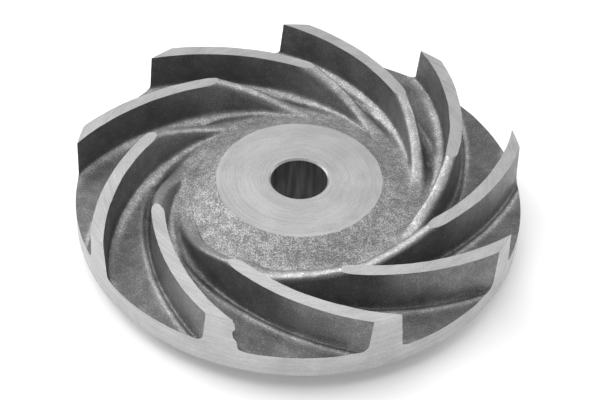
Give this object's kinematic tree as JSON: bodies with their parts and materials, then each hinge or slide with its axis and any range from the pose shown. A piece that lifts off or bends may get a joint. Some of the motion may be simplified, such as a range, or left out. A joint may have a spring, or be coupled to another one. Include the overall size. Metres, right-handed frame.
{
  "type": "pump impeller",
  "caption": "Semi-open pump impeller: a cast disc with a conical hub, a central bore and backward-curved vanes with machined tops.",
  "frame": {"origin": "centre of the seat on the back boss, on the bore's axis, at the lowest point", "axes": "+Z along the bore towards the vanes; +X and +Y across, with the first vane's sharp tip corner 16.25 degrees from +X towards +Y"},
  "size_m": [0.125, 0.125, 0.023],
  "materials": {
    "cast_iron": "as cast in the channels; turned and faced, satin, on the vane tops, rim and hub face"
  },
  "bodies": {
    "root": {"impeller": "cast_iron"}
  },
  "joints": []
}
